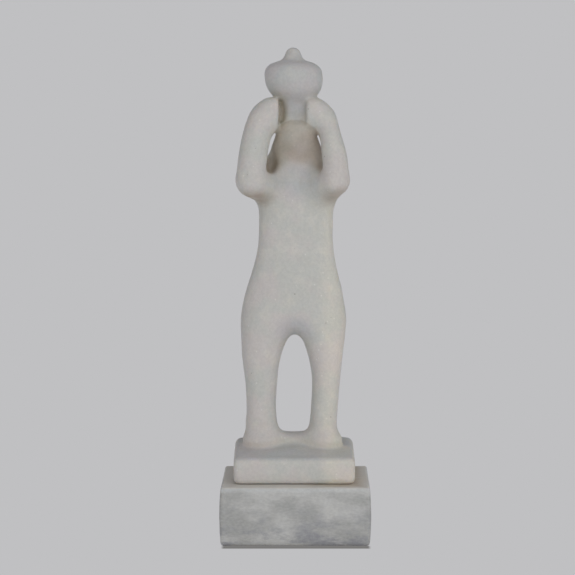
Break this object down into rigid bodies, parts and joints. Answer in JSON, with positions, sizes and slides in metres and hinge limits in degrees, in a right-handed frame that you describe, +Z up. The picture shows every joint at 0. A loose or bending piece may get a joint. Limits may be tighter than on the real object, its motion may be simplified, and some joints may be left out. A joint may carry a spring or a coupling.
{
  "type": "cycladic style drinker figurine",
  "caption": "Standing marble figurine in the Cycladic manner, head thrown back, tipping a round jar to its mouth with both hands, on a rounded foot slab and a separate marble plinth block",
  "frame": {"origin": "middle of the plinth's underside, on the surface that the object stands on", "axes": "+Z up along the standing figure; the figure faces -Y; +X is its left-hand side, the viewer's right; the plinth's long side runs along X"},
  "size_m": [0.1244, 0.1092, 0.4039],
  "materials": {
    "figure_marble": "hand-rubbed white marble, slightly translucent, fine sugary grain, warm in the hollows",
    "plinth_marble": "rough-rubbed grey-white marble with bluish-grey clouding towards the bottom, softly worn edges"
  },
  "bodies": {
    "root": {"drinker_figure": "figure_marble", "plinth": "plinth_marble"}
  },
  "joints": []
}
